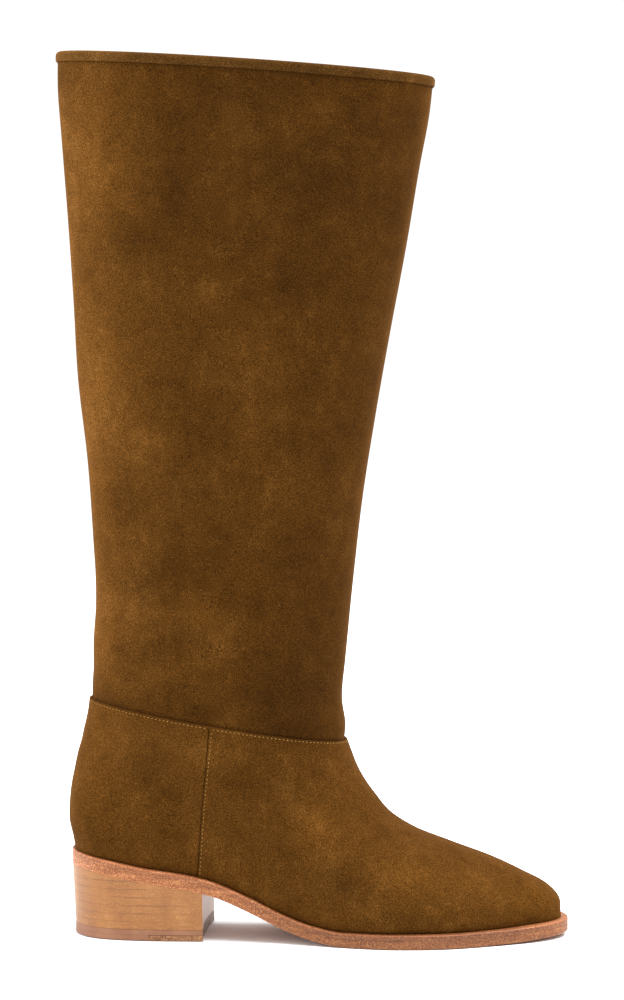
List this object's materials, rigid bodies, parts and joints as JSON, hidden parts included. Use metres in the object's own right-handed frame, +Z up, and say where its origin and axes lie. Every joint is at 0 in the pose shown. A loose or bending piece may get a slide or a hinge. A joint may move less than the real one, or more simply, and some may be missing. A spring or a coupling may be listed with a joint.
{
  "type": "knee-high boot",
  "caption": "Knee-high pull-on suede boot for the right foot, with a wide straight shaft, seamed ankle, leather welt and sole, and a low block heel.",
  "frame": {"origin": "on the floor, under the middle of the boot's bounding box", "axes": "+X from heel to toe, +Z up, -Y towards the outer side of the right foot"},
  "size_m": [0.2734, 0.0944, 0.4707],
  "materials": {
    "suede": "tobacco brown suede with a short cloudy nap",
    "suede_edge": "the same suede folded over the top edge",
    "welt_leather": "smooth reddish tan edge-dressed leather",
    "sole_leather": "reddish tan leather with a finely speckled cut edge",
    "sock_leather": "smooth pale tan lining leather",
    "heel_wood": "satin light brown with thin level grain lines",
    "lift_rubber": "smooth matt brown rubber",
    "insert_leather": "bare pressed leather with a speckled cut edge"
  },
  "bodies": {
    "root": {"upper": "suede", "counter": "suede", "vamp": "suede", "collar_binding": "suede_edge", "welt": "welt_leather", "outsole": "sole_leather", "insole": "sock_leather", "heel_block": "heel_wood", "heel_lift": "lift_rubber", "heel_insert": "insert_leather"}
  },
  "joints": []
}
